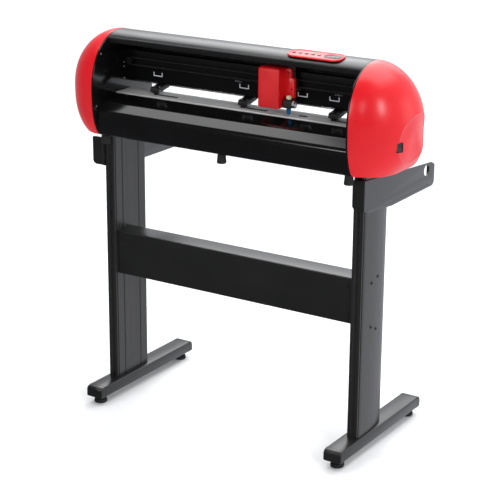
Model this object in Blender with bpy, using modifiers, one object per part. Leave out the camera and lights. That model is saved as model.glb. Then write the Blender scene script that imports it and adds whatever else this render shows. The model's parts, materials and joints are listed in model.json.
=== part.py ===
"""A 720 mm vinyl cutter on its two-legged stand.

Metres, +Z up, +X to the operator's right, -Y towards the operator.
The origin is on the floor under the middle of the footprint.
The design below is written in millimetres: Y is counted from the middle of
the legs and Z from the underside of the foot bars, and W() turns both into
the metres of the finished part.
"""

import math

import bmesh
import bpy
from mathutils import Matrix, Vector

for old in list(bpy.data.objects):
    bpy.data.objects.remove(old, do_unlink=True)

# ---------------------------------------------------------------- dimensions
MM = 0.001
SHIFT_Y = -67.5        # the footprint runs from -160 to 295
SHIFT_Z = 20.0         # levelling pads under the foot bars
GAP = 0.3

BODY_X = 365.0         # seam between the body and each end cap
PANEL_X = 360.2        # ends of the covers, between the side plates
BODY_BOTTOM = 703.0

CAP_BULGE = 117.0      # how far a cap stands out from its seam
CAP_CY, CAP_CZ = -8.0, 815.3
CAP_FRONT, CAP_REAR = 127.3, 126.5
CAP_TOP, CAP_LOW = 143.4, 149.3
CAP_POWER = {"front_top": 2.2, "rear_top": 1.84, "front_low": 2.73, "rear_low": 6.4}
CAP_DOME_POWER = 1.93
CAP_WALL = 3.0

LEG_X = 363.5          # centre of each leg
LEG_HALF = 15.1
LEG_FRONT, LEG_BACK = -68.6, 67.3
FOOT_X = 359.9
FOOT_FRONT, FOOT_BACK, FOOT_HIGH = -160.0, 264.0, 28.7

BEAM_Y0, BEAM_Y1, BEAM_Z0, BEAM_Z1 = 2.0, 52.0, 828.0, 905.0
PLATEN_Y0, PLATEN_Y1, PLATEN_TOP = -40.0, 28.0, 801.5
DRIVE_Y, DRIVE_Z, DRIVE_R = -8.0, 791.8, 10.0
GRIT = ((-262.0, -190.0), (-4.0, 74.0), (163.0, 185.0), (252.0, 322.0))
PINCH_X = (-258.0, 5.0, 259.0)
PINCH_R = 6.8
PINCH_Z = DRIVE_Z + DRIVE_R + PINCH_R + GAP
PIVOT_Y, PIVOT_Z = 34.0, 819.5

PULLEY_Z, PULLEY_R, PULLEY_X = 878.0, 8.0, 340.0
TOOL_X, TOOL_Y, TOOL_TIP = 148.5, -33.0, 804.9

GEAR_TEETH, PINION_TEETH, GEAR_MODULE = 40, 16, 1.0

BEZEL_TILT = math.radians(9.0)
BEZEL_AT = (223.0, -36.0, 955.7)
BUTTON_X = (163.0, 180.0, 197.0, 214.0, 231.0)
BUTTON_R = 4.2

HOLE_Y, HOLE_Z, HOLE_R = 250.0, 640.0, 14.0


def W(x, y, z):
    return Vector((x * MM, (y + SHIFT_Y) * MM, (z + SHIFT_Z) * MM))


# --------------------------------------------------------------- collections
parts = bpy.data.collections.new("vinyl_cutter")
cutters = bpy.data.collections.new("vinyl_cutter_cutters")
bpy.context.scene.collection.children.link(parts)
bpy.context.scene.collection.children.link(cutters)

MATERIALS = {}


def material(name, rgb, rough, metal=0.0):
    if name not in MATERIALS:
        made = bpy.data.materials.new(name)
        made.use_nodes = True
        shader = made.node_tree.nodes["Principled BSDF"]
        shader.inputs["Base Color"].default_value = (*rgb, 1.0)
        shader.inputs["Roughness"].default_value = rough
        shader.inputs["Metallic"].default_value = metal
        MATERIALS[name] = made
    return MATERIALS[name]


RED = ("red_plastic", (0.72, 0.012, 0.02), 0.22)
BLACK = ("black_paint", (0.012, 0.012, 0.013), 0.3)
SATIN = ("black_satin_steel", (0.03, 0.028, 0.027), 0.45, 0.3)
DARK = ("dark_plastic", (0.02, 0.02, 0.022), 0.5)
RUBBER = ("rubber", (0.02, 0.02, 0.02), 0.85)
ALU = ("aluminium", (0.72, 0.73, 0.74), 0.3, 1.0)
STEEL = ("steel", (0.5, 0.5, 0.52), 0.3, 1.0)
BRASS = ("brass", (0.75, 0.6, 0.32), 0.3, 1.0)
BLUE = ("blue_anodised", (0.02, 0.25, 0.55), 0.3, 0.6)
GREY = ("grey_plastic", (0.4, 0.4, 0.42), 0.5)
STRIP = ("strip_plastic", (0.75, 0.75, 0.74), 0.5)
GREEN = ("board_laminate", (0.02, 0.16, 0.06), 0.5)
GLASS = ("display_window", (0.02, 0.03, 0.04), 0.1)


def finish(obj, kind, helper=False):
    if helper:
        obj.hide_render = True
        obj.display_type = "WIRE"
        cutters.objects.link(obj)
        return obj
    parts.objects.link(obj)
    obj.data.materials.append(material(*kind))
    return obj


def smooth(obj, angle=35.0):
    obj.data.shade_smooth()
    obj.data.set_sharp_from_angle(angle=math.radians(angle))
    return obj


def box(name, lo, hi, kind=None, bevel=0.0, segments=1, helper=False, turn=None):
    """A block from its lowest to its highest corner, with its origin at its middle."""
    low, high = W(*lo), W(*hi)
    bm = bmesh.new()
    bmesh.ops.create_cube(bm, size=1.0)
    bmesh.ops.scale(bm, verts=bm.verts, vec=high - low)
    mesh = bpy.data.meshes.new(name)
    bm.to_mesh(mesh)
    bm.free()
    obj = bpy.data.objects.new(name, mesh)
    obj.location = (low + high) / 2
    if turn is not None:
        obj.rotation_euler = turn
    finish(obj, kind, helper)
    if bevel:
        mod = obj.modifiers.new("edges", "BEVEL")
        mod.width = bevel * MM
        mod.segments = segments
        mod.limit_method = "ANGLE"
        mod.harden_normals = False
    return obj


TURNS = {
    "X": (math.pi / 2, 0.0, math.pi / 2),      # local x, y, z become world Y, Z, X
    "Y": (math.pi / 2, 0.0, 0.0),              # local x, y, z become world X, Z, -Y
    "Z": (0.0, 0.0, 0.0),
}


def prism(name, rings, axis, low, high, kind=None, helper=False):
    """A flat outline, with any holes as further rings, stretched along an axis.

    Axis X takes (y, z) points, axis Z takes (x, y) points.
    """
    curve = bpy.data.curves.new(name, "CURVE")
    curve.dimensions = "2D"
    curve.fill_mode = "BOTH"
    curve.extrude = (high - low) / 2 * MM
    for ring in rings:
        spline = curve.splines.new("POLY")
        spline.points.add(len(ring) - 1)
        for point, (a, b) in zip(spline.points, ring):
            point.co = (a * MM, b * MM, 0.0, 1.0)
        spline.use_cyclic_u = True
    obj = bpy.data.objects.new(name, curve)
    middle = (low + high) / 2
    if axis == "X":
        obj.location = W(middle, 0.0, 0.0)
    else:
        obj.location = W(0.0, 0.0, middle)
    obj.rotation_euler = TURNS[axis]
    finish(obj, kind, helper)
    return obj


def as_mesh(obj, kind=None, helper=False):
    """The same shape as a welded mesh object, so that a Boolean can use it."""
    bpy.context.view_layer.update()
    graph = bpy.context.evaluated_depsgraph_get()
    mesh = bpy.data.meshes.new_from_object(obj.evaluated_get(graph))
    name, place = obj.name, obj.matrix_world.copy()
    bpy.data.objects.remove(obj, do_unlink=True)
    bm = bmesh.new()
    bm.from_mesh(mesh)
    bmesh.ops.remove_doubles(bm, verts=bm.verts, dist=1e-6)
    bmesh.ops.recalc_face_normals(bm, faces=bm.faces)
    bm.to_mesh(mesh)
    bm.free()
    mesh.materials.clear()
    made = bpy.data.objects.new(name, mesh)
    made.matrix_world = place
    return finish(made, kind, helper)


def circle(cy, cz, r, count, start=0.0):
    return [
        (cy + r * math.cos(start + 2 * math.pi * i / count), cz + r * math.sin(start + 2 * math.pi * i / count))
        for i in range(count)
    ]


def rod(name, r, lo, hi, at, axis, kind=None, sides=20, helper=False, r2=None):
    """A round bar along X, Y or Z. `at` is its place on the other two axes."""
    bm = bmesh.new()
    bmesh.ops.create_cone(
        bm, cap_ends=True, segments=sides, radius1=r * MM, radius2=(r if r2 is None else r2) * MM, depth=(hi - lo) * MM
    )
    mesh = bpy.data.meshes.new(name)
    bm.to_mesh(mesh)
    bm.free()
    obj = bpy.data.objects.new(name, mesh)
    middle = (lo + hi) / 2
    if axis == "X":
        obj.location, obj.rotation_euler = W(middle, *at), (0.0, math.pi / 2, 0.0)
    elif axis == "Y":
        obj.location, obj.rotation_euler = W(at[0], middle, at[1]), (-math.pi / 2, 0.0, 0.0)
    else:
        obj.location = W(at[0], at[1], middle)
    finish(obj, kind, helper)
    return smooth(obj)


def turned(name, profile, at, kind, axis="Z", steps=24):
    """A turned piece: (radius, height) pairs from top to bottom, both ends on the axis."""
    mesh = bpy.data.meshes.new(name)
    bm = bmesh.new()
    verts = [bm.verts.new((r * MM, 0.0, h * MM)) for r, h in profile]
    for a, b in zip(verts, verts[1:]):
        bm.edges.new((a, b))
    bm.to_mesh(mesh)
    bm.free()
    obj = bpy.data.objects.new(name, mesh)
    obj.location = W(*at)
    if axis == "X":
        obj.rotation_euler = (0.0, math.pi / 2, 0.0)
    finish(obj, kind)
    mod = obj.modifiers.new("turn", "SCREW")
    mod.axis = "Z"
    mod.steps = mod.render_steps = steps
    mod.use_merge_vertices = True
    mod.merge_threshold = 1e-5
    mod.use_smooth_shade = True
    return obj


def sheet(name, line, x0, x1, thick, kind, side=-1.0):
    """Bent sheet metal: a (y, z) line stretched along X, then given its thickness."""
    mesh = bpy.data.meshes.new(name)
    bm = bmesh.new()
    verts = [bm.verts.new(W(x0, y, z)) for y, z in line]
    edges = [bm.edges.new((a, b)) for a, b in zip(verts, verts[1:])]
    grown = bmesh.ops.extrude_edge_only(bm, edges=edges)
    moved = [item for item in grown["geom"] if isinstance(item, bmesh.types.BMVert)]
    bmesh.ops.translate(bm, verts=moved, vec=(W(x1, 0, 0) - W(x0, 0, 0)))
    bm.to_mesh(mesh)
    bm.free()
    obj = bpy.data.objects.new(name, mesh)
    finish(obj, kind)
    mod = obj.modifiers.new("thickness", "SOLIDIFY")
    mod.thickness = thick * MM
    mod.offset = side
    mod.use_even_offset = True
    return smooth(obj, 30.0)


def boolean(obj, other, operation="DIFFERENCE"):
    mod = obj.modifiers.new(operation.lower(), "BOOLEAN")
    mod.operation = operation
    mod.object = other
    mod.solver = "EXACT"
    return mod


# --------------------------------------------------- outline of the body ends
def cap_radius(angle):
    """Distance from the cap's centre line to its rim, at an angle in the YZ plane."""
    c, s = math.cos(angle), math.sin(angle)
    high = "top" if s >= 0 else "low"
    power = CAP_POWER[("rear_" if c >= 0 else "front_") + high]
    half_y = CAP_REAR if c >= 0 else CAP_FRONT
    half_z = CAP_TOP if s >= 0 else CAP_LOW
    return ((abs(c) / half_y) ** power + (abs(s) / half_z) ** power) ** (-1.0 / power)


def rim(count, inset=0.0):
    """The end outline, counted round from the rear, flat along the bottom."""
    ring = []
    for i in range(count):
        angle = 2 * math.pi * i / count
        r = cap_radius(angle) - inset
        y, z = CAP_CY + r * math.cos(angle), CAP_CZ + r * math.sin(angle)
        ring.append((y, max(z, BODY_BOTTOM + inset)))
    return ring


def cap_point(phi, angle):
    s = math.cos(phi) ** (2.0 / CAP_DOME_POWER)
    d = math.sin(phi) ** (2.0 / CAP_DOME_POWER)
    r = s * cap_radius(angle)
    y, z = CAP_CY + r * math.cos(angle), CAP_CZ + r * math.sin(angle)
    return BODY_X + 0.4 + (CAP_BULGE - 0.4) * d, y, max(z, BODY_BOTTOM)


def end_cap(name, sign):
    """Half a sphere drawn out to the body's outline, then thinned to a shell."""
    bm = bmesh.new()
    bmesh.ops.create_uvsphere(bm, u_segments=40, v_segments=18, radius=1.0)
    bmesh.ops.delete(bm, geom=[v for v in bm.verts if v.co.z < -1e-4], context="VERTS")
    for v in bm.verts:
        phi = math.asin(max(0.0, min(1.0, v.co.z)))
        x, y, z = cap_point(phi, math.atan2(v.co.y, v.co.x))
        v.co = W(sign * x, y, z)
    if sign < 0:
        bmesh.ops.reverse_faces(bm, faces=bm.faces)
    mesh = bpy.data.meshes.new(name)
    bm.to_mesh(mesh)
    bm.free()
    obj = bpy.data.objects.new(name, mesh)
    finish(obj, RED)
    mod = obj.modifiers.new("wall", "SOLIDIFY")
    mod.thickness = CAP_WALL * MM
    mod.offset = -1.0
    mod.use_even_offset = False
    return smooth(obj, 40.0)


# ------------------------------------------------------------------ the stand
def leg_outline(cx, outer):
    """Oval extrusion: two shallow grooves run down each broad side."""
    half, front, back = LEG_HALF, LEG_FRONT, LEG_BACK
    side = []
    for t in (0.0, 0.35, 0.7, 1.0):          # rounded front corner
        a = math.pi / 2 * t
        side.append((half - 9.0 + 9.0 * math.sin(a), front + 9.0 - 9.0 * math.cos(a)))
    for y in (-36.0, 34.0):                  # grooves
        side += [(half, y - 3.0), (half - 2.0, y - 1.5), (half - 2.0, y + 1.5), (half, y + 3.0)]
    for t in (0.0, 0.35, 0.7, 1.0):
        a = math.pi / 2 * t
        side.append((half - 9.0 + 9.0 * math.cos(a), back - 9.0 + 9.0 * math.sin(a)))
    ring = [(cx + x, y) for x, y in side] + [(cx - x, y) for x, y in reversed(side)]
    return ring


for tag, sign in (("left", -1.0), ("right", 1.0)):
    bar = box(
        "foot_bar_" + tag,
        (sign * FOOT_X - 25.0, FOOT_FRONT, 0.0),
        (sign * FOOT_X + 25.0, FOOT_BACK, FOOT_HIGH),
        SATIN, bevel=3.0, segments=2,
    )
    prism("leg_" + tag, [leg_outline(sign * LEG_X, sign)], "Z", FOOT_HIGH + GAP, BODY_BOTTOM - GAP, SATIN)
    for end, y in (("front", -132.0), ("rear", 236.0)):
        turned(
            "foot_pad_%s_%s" % (end, tag),
            [(0.0, -GAP), (6.0, -GAP), (6.0, -9.0), (15.5, -11.0), (17.0, -13.5), (17.0, -20.0), (0.0, -20.0)],
            (sign * FOOT_X, y, 0.0), RUBBER, steps=20,
        )

# The brackets are alike, so the flanges of both point to the left.
BRACKET_SIDE = [(-74.2, 686.0), (-74.2, 612.0), (-50.0, 604.0), (67.0, 593.5), (286.0, 593.5), (295.0, 602.0), (295.0, 648.0), (277.0, 656.0)]
for tag, x in (("left", -382.0), ("right", 379.0)):
    plate = as_mesh(
        prism("bracket_" + tag, [BRACKET_SIDE, circle(HOLE_Y, HOLE_Z, HOLE_R, 24)], "X", x, x + 3.0, SATIN), SATIN
    )
    front = box("bracket_front_flange_" + tag, (x - 30.0, -74.2, 612.4), (x + 1.0, -71.2, 685.6), helper=True)
    rear = box("bracket_rear_flange_" + tag, (x - 18.0, 292.0, 604.0), (x + 1.0, 294.9, 646.0), helper=True)
    lip = box("bracket_lip_" + tag, (x - 8.0, 74.0, 593.6), (x + 1.0, 284.0, 596.4), helper=True)
    for piece in (front, rear, lip):
        boolean(plate, piece, "UNION")

sheet(
    "cross_panel",
    [(-40.0, 321.5), (-60.0, 321.5), (-60.0, 438.0), (3.0, 438.0), (3.0, 424.0)],
    -(LEG_X - LEG_HALF - GAP), LEG_X - LEG_HALF - GAP, 2.0, SATIN, side=-1.0,
)

# ------------------------------------------------------------------- the body
end_cap("end_cap_left", -1.0)
cap_right = end_cap("end_cap_right", 1.0)
SWITCH_AT = (463.5, -66.0, 776.0)
SWITCH_TURN = math.radians(-26.0)
pocket = box("switch_opening", (435.0, -75.0, 764.5), (492.0, -57.0, 787.5), helper=True, turn=(0.0, 0.0, SWITCH_TURN))
boolean(cap_right, pocket)

plate_ring = rim(56, 0.6)
prism("side_plate_left", [plate_ring, circle(DRIVE_Y, DRIVE_Z, 4.6, 16)], "X", -BODY_X + GAP, -PANEL_X - GAP, BLACK)
prism("side_plate_right", [plate_ring], "X", PANEL_X + GAP, BODY_X - GAP, BLACK)

# The top cover follows the caps over the top and down the back.
cover_line = [(-58.0, 930.5), (-65.0, 930.5), (-66.5, 933.0), (-67.0, 942.0), (-64.0, 946.8)]
for i in range(19):
    angle = math.radians(113.0 - 6.2 * i)
    r = cap_radius(angle) - 0.4
    y, z = CAP_CY + r * math.cos(angle), CAP_CZ + r * math.sin(angle)
    if y > -57.0:
        cover_line.append((y, z))
cover_line += [(CAP_CY + CAP_REAR - 1.4, 838.0)]
cover_line = [p for p in cover_line if p[1] >= 838.0]
sheet("top_cover", cover_line, -PANEL_X, PANEL_X, 2.0, BLACK, side=-1.0)

sheet(
    "front_panel",
    [(-41.0, 799.0), (-90.0, 789.6), (-96.0, 786.6), (-115.0, 768.5), (-119.0, 762.5), (-121.0, 748.0), (-118.5, 726.0), (-114.0, 706.5), (-110.5, 703.2), (-106.0, 703.2)],
    -PANEL_X, PANEL_X, 2.0, BLACK, side=1.0,
)
rear_panel = sheet(
    "rear_panel",
    [(29.0, 798.5), (60.0, 786.0), (100.0, 762.0), (110.0, 752.0), (115.0, 738.0), (115.0, 708.0), (111.0, 703.2), (95.0, 703.2)],
    -PANEL_X, PANEL_X, 2.0, BLACK, side=-1.0,
)
inlet_hole = box("inlet_opening", (276.0, 98.0, 712.0), (324.0, 125.0, 736.0), helper=True)
boolean(rear_panel, inlet_hole)
sheet("base_tray", [(-104.0, 735.0), (-104.0, 703.2), (94.0, 703.2), (94.0, 735.0)], -PANEL_X, PANEL_X, 2.0, BLACK, side=1.0)

# A box beam carries the carriage; a rib runs along its face.
prism(
    "guide_beam",
    [
        [(2.0, 828.0), (2.0, 863.5), (-0.2, 864.8), (-0.2, 867.2), (2.0, 868.5), (2.0, 905.0), (52.0, 905.0), (52.0, 828.0)],
        [(5.0, 831.0), (5.0, 902.0), (49.0, 902.0), (49.0, 831.0)],
    ],
    "X", -PANEL_X, PANEL_X, BLACK,
)
box("carriage_rail", (-352.0, 20.0, 905.3), (352.0, 32.0, 911.3), STEEL)

platen = box("platen", (-PANEL_X, PLATEN_Y0, PLATEN_TOP - 5.0), (PANEL_X, PLATEN_Y1, PLATEN_TOP), ALU)
for i, (a, b) in enumerate(GRIT):
    boolean(platen, box("roller_slot_%d" % i, (a - 2.0, DRIVE_Y - 9.6, 790.0), (b + 2.0, DRIVE_Y + 9.6, 806.0), helper=True))
strip_groove = box("strip_groove", (-335.3, -36.3, 799.7), (335.3, -26.0, 806.0), helper=True)
boolean(platen, strip_groove)
box("cutting_strip", (-335.0, -36.0, 800.0), (335.0, -26.3, 801.6), STRIP)

for tag, x in (("left", -352.0), ("middle", 0.0), ("right", 352.0)):
    turned(
        "rubber_foot_" + tag,
        [(0.0, -GAP), (9.5, -GAP), (10.5, -4.0), (12.0, -21.0), (11.0, -24.0), (0.0, -24.0)],
        (x, -98.0, BODY_BOTTOM), RUBBER, steps=20,
    )

# ------------------------------------------------------------- media transport
shaft = rod("drive_shaft", 4.0, -381.0, 356.0, (DRIVE_Y, DRIVE_Z), "X", STEEL, sides=16)
for i, (a, b) in enumerate(GRIT):
    boolean(shaft, rod("grit_roller_%d" % i, DRIVE_R, a, b, (DRIVE_Y, DRIVE_Z), "X", sides=28, helper=True), "UNION")


def gear_ring(cy, cz, teeth, offset):
    """Straight-sided teeth, thinned a little so that two gears run with play."""
    pitch = GEAR_MODULE * teeth / 2.0
    outer, root = pitch + 0.9 * GEAR_MODULE, pitch - 1.2 * GEAR_MODULE
    step = 2 * math.pi / teeth
    ring = []
    for i in range(teeth):
        a = offset + i * step
        for r, da in ((root, -0.34), (outer, -0.13), (outer, 0.13), (root, 0.34)):
            ring.append((cy + r * math.cos(a + da * step), cz + r * math.sin(a + da * step)))
    return ring


GEAR_DISTANCE = GEAR_MODULE * (GEAR_TEETH + PINION_TEETH) / 2.0 + 0.1
PINION_Y, PINION_Z = DRIVE_Y, DRIVE_Z + GEAR_DISTANCE
prism(
    "drive_gear",
    [gear_ring(DRIVE_Y, DRIVE_Z, GEAR_TEETH, math.pi / 2), circle(DRIVE_Y, DRIVE_Z, 4.35, 16)],
    "X", -376.0, -369.0, BRASS,
)
prism(
    "motor_pinion",
    [gear_ring(PINION_Y, PINION_Z, PINION_TEETH, -math.pi / 2 + math.pi / PINION_TEETH), circle(PINION_Y, PINION_Z, 2.6, 12)],
    "X", -377.0, -368.0, BRASS,
)
drive_motor = box("drive_motor", (-424.0, PINION_Y - 21.0, PINION_Z - 21.0), (-384.0, PINION_Y + 21.0, PINION_Z + 21.0), DARK, bevel=3.0)
boolean(drive_motor, rod("drive_motor_shaft", 2.2, -386.0, -367.5, (PINION_Y, PINION_Z), "X", sides=12, helper=True), "UNION")

rod("pinch_shaft", 3.0, -PANEL_X, PANEL_X, (PIVOT_Y, PIVOT_Z), "X", STEEL, sides=14)
for number, x in enumerate(PINCH_X, 1):
    y, z = DRIVE_Y, PINCH_Z
    side = [
        (y - 4.5, z - 2.5), (y - 4.5, z + 2.5), (y - 1.0, z + 5.0), (18.0, 817.0), (28.0, 824.5), (38.0, 824.5),
        (40.0, 819.0), (37.0, 813.0), (22.0, 810.5), (y + 4.0, z - 4.5), (y - 1.0, z - 5.0),
    ]
    arm = as_mesh(prism("pinch_arm_%d" % number, [side], "X", x - 10.5, x + 10.5, DARK), DARK)
    boolean(arm, box("pinch_fork_%d" % number, (x - 6.9, y - 12.0, z - 12.0), (x + 6.9, y + 10.5, z + 14.0), helper=True))
    boolean(arm, rod("pinch_pivot_bore_%d" % number, 3.3, x - 15.0, x + 15.0, (PIVOT_Y, PIVOT_Z), "X", sides=14, helper=True))
    boolean(arm, rod("pinch_axle_bore_%d" % number, 2.3, x - 15.0, x + 15.0, (y, z), "X", sides=14, helper=True))
    roller = rod("pinch_roller_%d" % number, PINCH_R, x - 6.4, x + 6.4, (y, z), "X", RUBBER, sides=24)
    boolean(roller, rod("pinch_axle_%d" % number, 2.0, x - 10.3, x + 10.3, (y, z), "X", sides=14, helper=True), "UNION")

# ------------------------------------------------------------------- carriage
carriage_plate = box("carriage_plate", (76.0, -14.0, 846.0), (154.0, -10.5, 919.0), ALU)
boolean(carriage_plate, box("carriage_roof", (76.0, -14.0, 914.5), (154.0, 38.0, 919.0), helper=True), "UNION")
for tag, y0, y1 in (("front", 14.0, 19.5), ("rear", 32.5, 38.0)):
    boolean(carriage_plate, box("carriage_shoe_" + tag, (80.0, y0, 906.0), (150.0, y1, 916.0), helper=True), "UNION")

cover = box("carriage_cover", (73.4, -56.0, 820.5), (132.6, -14.4, 919.5), RED, bevel=5.0, segments=2)
wing = box("carriage_wing", (120.0, -25.0, 844.0), (157.0, -14.4, 915.0), helper=True, bevel=2.0)
boolean(cover, wing, "UNION")
boolean(cover, box("cover_room", (75.9, -53.4, 823.0), (130.1, -8.0, 917.0), helper=True))
boolean(cover, box("wing_room", (125.0, -22.6, 846.4), (154.6, -8.0, 912.6), helper=True))

clamp = box("tool_clamp", (136.0, -43.0, 822.3), (159.0, -14.8, 842.8), DARK, bevel=2.0)
boolean(clamp, rod("tool_bore", 6.2, 815.0, 850.0, (TOOL_X, TOOL_Y), "Z", sides=24, helper=True))
turned(
    "blade_holder",
    [(0.0, 38.5), (5.8, 38.5), (5.8, 10.0), (4.6, 8.6), (4.6, 3.0), (2.2, 0.6), (0.7, 0.0), (0.0, 0.0)],
    (TOOL_X, TOOL_Y, TOOL_TIP), BLUE, steps=20,
)
turned(
    "holder_cap",
    [(0.0, 9.6), (3.0, 9.6), (6.2, 8.4), (6.6, 7.0), (6.6, 0.3), (0.0, 0.3)],
    (TOOL_X, TOOL_Y, TOOL_TIP + 38.5), BRASS, steps=20,
)
turned(
    "clamp_screw",
    [(0.0, 9.0), (8.0, 9.0), (9.6, 7.6), (9.6, 2.0), (8.6, 0.5), (4.0, 0.3), (0.0, 0.3)],
    (159.0, TOOL_Y, 832.5), STEEL, axis="X", steps=20,
)

# A toothed belt runs in front of the beam, between an idler and the motor.
belt_outer, belt_inner = [], []
for r, ring in ((PULLEY_R + 1.6, belt_outer), (PULLEY_R + 0.3, belt_inner)):
    for cx, start in ((PULLEY_X, -math.pi / 2), (-PULLEY_X, math.pi / 2)):
        ring += [(cx + r * math.cos(start + math.pi * i / 8), PULLEY_Z + r * math.sin(start + math.pi * i / 8)) for i in range(9)]
belt = bpy.data.curves.new("carriage_belt", "CURVE")
belt.dimensions, belt.fill_mode, belt.extrude = "2D", "BOTH", 3.0 * MM
for ring in (belt_outer, belt_inner):
    spline = belt.splines.new("POLY")
    spline.points.add(len(ring) - 1)
    for point, (a, b) in zip(spline.points, ring):
        point.co = (a * MM, b * MM, 0.0, 1.0)
    spline.use_cyclic_u = True
belt_obj = bpy.data.objects.new("carriage_belt", belt)
belt_obj.location = W(0.0, -5.2, 0.0)
belt_obj.rotation_euler = TURNS["Y"]
finish(belt_obj, RUBBER)

rod("belt_pulley", PULLEY_R, -8.4, -2.0, (PULLEY_X, PULLEY_Z), "Y", STEEL, sides=24)
idler = rod("idler_pulley", PULLEY_R, -8.4, -2.0, (-PULLEY_X, PULLEY_Z), "Y", STEEL, sides=24)
beam_motor = box("carriage_motor", (PULLEY_X - 21.0, 7.0, PULLEY_Z - 21.0), (PULLEY_X + 19.0, 46.0, PULLEY_Z + 21.0), DARK, bevel=3.0)

# The pulleys turn on pins that pass through the beam's face.
for name, x in (("belt_pulley", PULLEY_X), ("idler_pulley", -PULLEY_X)):
    boolean(bpy.data.objects[name], rod(name + "_pin", 2.4, -3.0, 6.6, (x, PULLEY_Z), "Y", sides=14, helper=True), "UNION")
beam = as_mesh(bpy.data.objects["guide_beam"], BLACK)
for name, x in (("right", PULLEY_X), ("left", -PULLEY_X)):
    boolean(beam, rod("pulley_bore_" + name, 2.8, -5.0, 6.9, (x, PULLEY_Z), "Y", sides=14, helper=True))

# -------------------------------------------------------------- control panel
def oval(half_x, half_y, corner, count=6):
    ring = []
    for cx, cy, start in ((1, 1, 0.0), (-1, 1, 0.5), (-1, -1, 1.0), (1, -1, 1.5)):
        for i in range(count + 1):
            a = math.pi * (start + 0.5 * i / count)
            ring.append((cx * (half_x - corner) + corner * math.cos(a), cy * (half_y - corner) + corner * math.sin(a)))
    return ring


def panel_piece(name, rings, low, high, kind=None, helper=False):
    """An outline in the plane of the control panel, from low to high above its underside."""
    obj = prism(name, rings, "Z", low, high, kind, helper)
    tilt = Matrix.Rotation(BEZEL_TILT, 4, "X")
    place = Matrix.Translation(W(*BEZEL_AT)) @ tilt @ Matrix.Translation((0.0, 0.0, (low + high) / 2 * MM))
    obj.matrix_world = place
    return obj


DISPLAY_X = 45.0
button_rings = [[(x - BEZEL_AT[0] + a, b) for a, b in circle(0.0, 0.0, BUTTON_R + 0.35, 16)] for x in BUTTON_X]
display_ring = [(DISPLAY_X + a, b) for a, b in oval(23.5, 13.5, 13.0)]
panel_piece("control_bezel", [oval(73.0, 24.0, 20.0)] + button_rings + [display_ring], 0.6, 4.2, RED)
panel_piece("display", [[(DISPLAY_X + a, b) for a, b in oval(23.1, 13.1, 12.6)]], 0.8, 3.6, GLASS)
for number, x in enumerate(BUTTON_X, 1):
    panel_piece("button_%d" % number, [[(x - BEZEL_AT[0] + a, b) for a, b in circle(0.0, 0.0, BUTTON_R, 16)]], 2.5, 5.3, GREY)

# ------------------------------------------------------------------ electrics
switch = box(
    "power_switch",
    (SWITCH_AT[0] - 7.0, SWITCH_AT[1] - 7.6, SWITCH_AT[2] - 10.2),
    (SWITCH_AT[0] + 1.0, SWITCH_AT[1] + 7.6, SWITCH_AT[2] + 10.2),
    DARK, bevel=1.0, turn=(0.0, 0.0, SWITCH_TURN),
)
inlet = box("power_inlet", (276.4, 96.0, 712.4), (323.6, 115.6, 735.6), DARK)
boolean(inlet, box("inlet_socket", (288.0, 100.0, 715.5), (312.0, 120.0, 732.5), helper=True))
box("circuit_board", (370.0, -60.0, 780.0), (372.0, 50.0, 880.0), GREEN)
box("power_supply", (376.0, -45.0, 722.0), (426.0, 60.0, 757.0), ALU)
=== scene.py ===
import json
import math

import bmesh
import bpy
from mathutils import Matrix, Vector

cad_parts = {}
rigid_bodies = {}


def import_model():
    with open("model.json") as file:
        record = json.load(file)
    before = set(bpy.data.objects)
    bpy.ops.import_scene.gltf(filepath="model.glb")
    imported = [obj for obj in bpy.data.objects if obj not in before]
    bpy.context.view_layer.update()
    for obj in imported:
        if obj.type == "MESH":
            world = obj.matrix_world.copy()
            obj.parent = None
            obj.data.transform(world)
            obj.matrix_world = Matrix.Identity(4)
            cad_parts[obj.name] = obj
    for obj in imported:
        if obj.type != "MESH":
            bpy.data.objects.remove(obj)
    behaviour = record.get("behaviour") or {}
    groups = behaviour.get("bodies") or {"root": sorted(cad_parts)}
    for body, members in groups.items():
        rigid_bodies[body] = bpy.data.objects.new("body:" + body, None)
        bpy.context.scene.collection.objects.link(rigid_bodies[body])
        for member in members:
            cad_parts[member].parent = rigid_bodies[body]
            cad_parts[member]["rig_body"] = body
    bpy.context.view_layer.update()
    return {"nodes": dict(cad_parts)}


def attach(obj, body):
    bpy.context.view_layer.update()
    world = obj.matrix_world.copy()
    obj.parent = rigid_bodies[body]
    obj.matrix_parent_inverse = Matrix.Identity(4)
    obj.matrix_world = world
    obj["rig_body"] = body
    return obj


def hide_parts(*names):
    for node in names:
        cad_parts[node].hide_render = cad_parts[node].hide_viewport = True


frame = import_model()
NODES = frame["nodes"]
SCENE = bpy.context.scene
MM = 0.001
PI = math.pi


def W(x, y, z):
    """Design millimetres (Y from the middle of the legs, Z from under the foot bars) to the row frame."""
    return Vector((x * MM, (y - 67.5) * MM, (z + 20.0) * MM))


# ------------------------------------------------------------------ materials
def ramp(nt, fac, low, high, start=0.0, end=1.0):
    node = nt.nodes.new("ShaderNodeMapRange")
    node.inputs["From Min"].default_value, node.inputs["From Max"].default_value = start, end
    node.inputs["To Min"].default_value, node.inputs["To Max"].default_value = low, high
    nt.links.new(fac, node.inputs["Value"])
    return node.outputs["Result"]


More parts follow.
